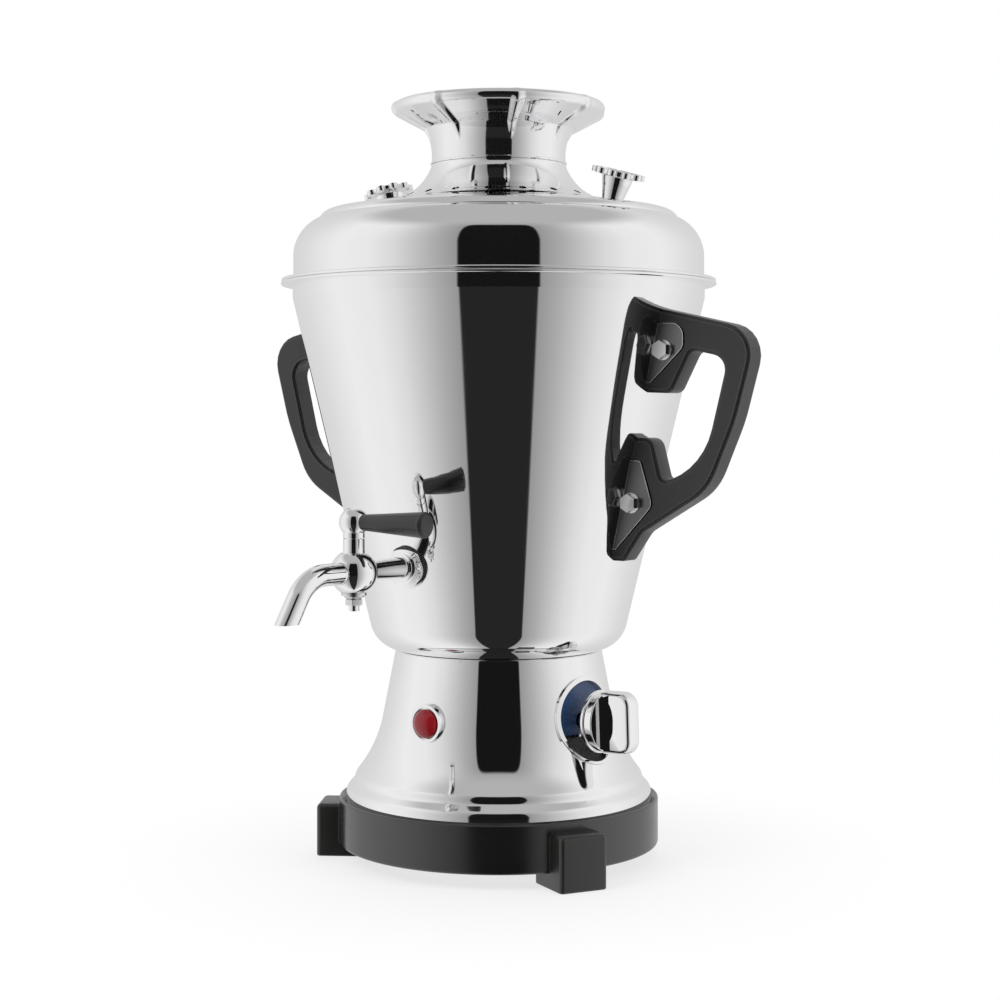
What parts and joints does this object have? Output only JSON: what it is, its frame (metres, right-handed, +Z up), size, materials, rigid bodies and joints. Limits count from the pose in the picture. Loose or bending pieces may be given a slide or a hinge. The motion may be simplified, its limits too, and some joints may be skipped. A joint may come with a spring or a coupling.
{
  "type": "hot water urn",
  "caption": "Electric hot water urn: tapered polished tank on a flared base, lift-off lid with a teapot crown, lever tap, side handles and a thermostat dial.",
  "frame": {"origin": "on the urn's vertical axis at table level, between the feet", "axes": "+Z up; -Y towards the tap; +X towards the thermostat's side and the right-hand handle"},
  "size_m": [0.2868, 0.2622, 0.3658],
  "materials": {
    "chrome": "polished",
    "bracket_steel": "dark pressed steel, satin",
    "bright_steel": "zinc-plated, smooth",
    "sheet_steel": "dull sheet",
    "element_steel": "heat-dulled sheath",
    "ring_plastic": "satin black moulding",
    "foot_plastic": "satin black moulding",
    "handle_plastic": "satin black moulding",
    "black_plastic": "matt black moulding",
    "cream_plastic": "cream moulding",
    "red_lens": "clear-gloss red lens",
    "dial_blue": "dark blue anodised look",
    "brass": "turned",
    "rubber": "dull"
  },
  "bodies": {
    "urn": {"base_ring": "ring_plastic", "foot_front_right": "foot_plastic", "foot_front_left": "foot_plastic", "foot_rear": "foot_plastic", "foot_screws": "bright_steel", "foot_nuts": "bright_steel", "bottom_plate": "sheet_steel", "base_housing": "chrome", "lamp_bezel": "chrome", "lamp_lens": "red_lens", "lamp_body": "black_plastic", "dial_bezel": "chrome", "dial_plate": "dial_blue", "dial_well": "black_plastic", "thermostat": "cream_plastic", "thermostat_screws": "bright_steel", "thermal_cutout": "black_plastic", "terminal_block": "cream_plastic", "cable_gland": "black_plastic", "gland_nut": "black_plastic", "tie_rod": "bright_steel", "tie_nut": "bright_steel", "tank_body": "chrome", "heating_element": "element_steel", "heater_gaskets": "rubber", "heater_nuts": "brass", "thermowell": "brass", "thermowell_nut": "brass", "shoulder_ring": "chrome", "handle_right": "handle_plastic", "handle_left": "handle_plastic", "brackets_right": "bracket_steel", "brackets_left": "bracket_steel", "handle_bolts": "bright_steel", "handle_nuts": "bright_steel", "tap_body": "chrome", "spout": "chrome", "tap_escutcheon": "chrome", "tap_gaskets": "rubber", "tap_locknut": "brass"},
    "lid": {"lid_plate": "chrome", "lid_collar": "chrome", "crown": "chrome", "lid_knob_right": "chrome", "lid_knob_left": "chrome", "lid_knob_screws": "bright_steel"},
    "tap_key": {"tap_plug": "chrome", "tap_lever": "handle_plastic", "tap_washer": "bright_steel", "tap_spring": "bright_steel", "tap_nut": "bright_steel"},
    "thermostat_knob": {"control_knob": "chrome", "thermostat_shaft": "bright_steel"}
  },
  "joints": [
    {"name": "lid_lift", "type": "slide", "parent": "urn", "child": "lid", "axis": [0, 0, 1], "range_m": [0, 0.12]},
    {"name": "tap_turn", "type": "hinge", "parent": "urn", "child": "tap_key", "pos_m": [0, -0.10699, 0.16], "axis": [0, 0, 1], "range_deg": [-90, 0]},
    {"name": "thermostat_turn", "type": "hinge", "parent": "urn", "child": "thermostat_knob", "pos_m": [0.05573, -0.00341, 0.0705], "axis": [0.9975, -0.061, 0.0349], "range_deg": [-270, 0]}
  ]
}
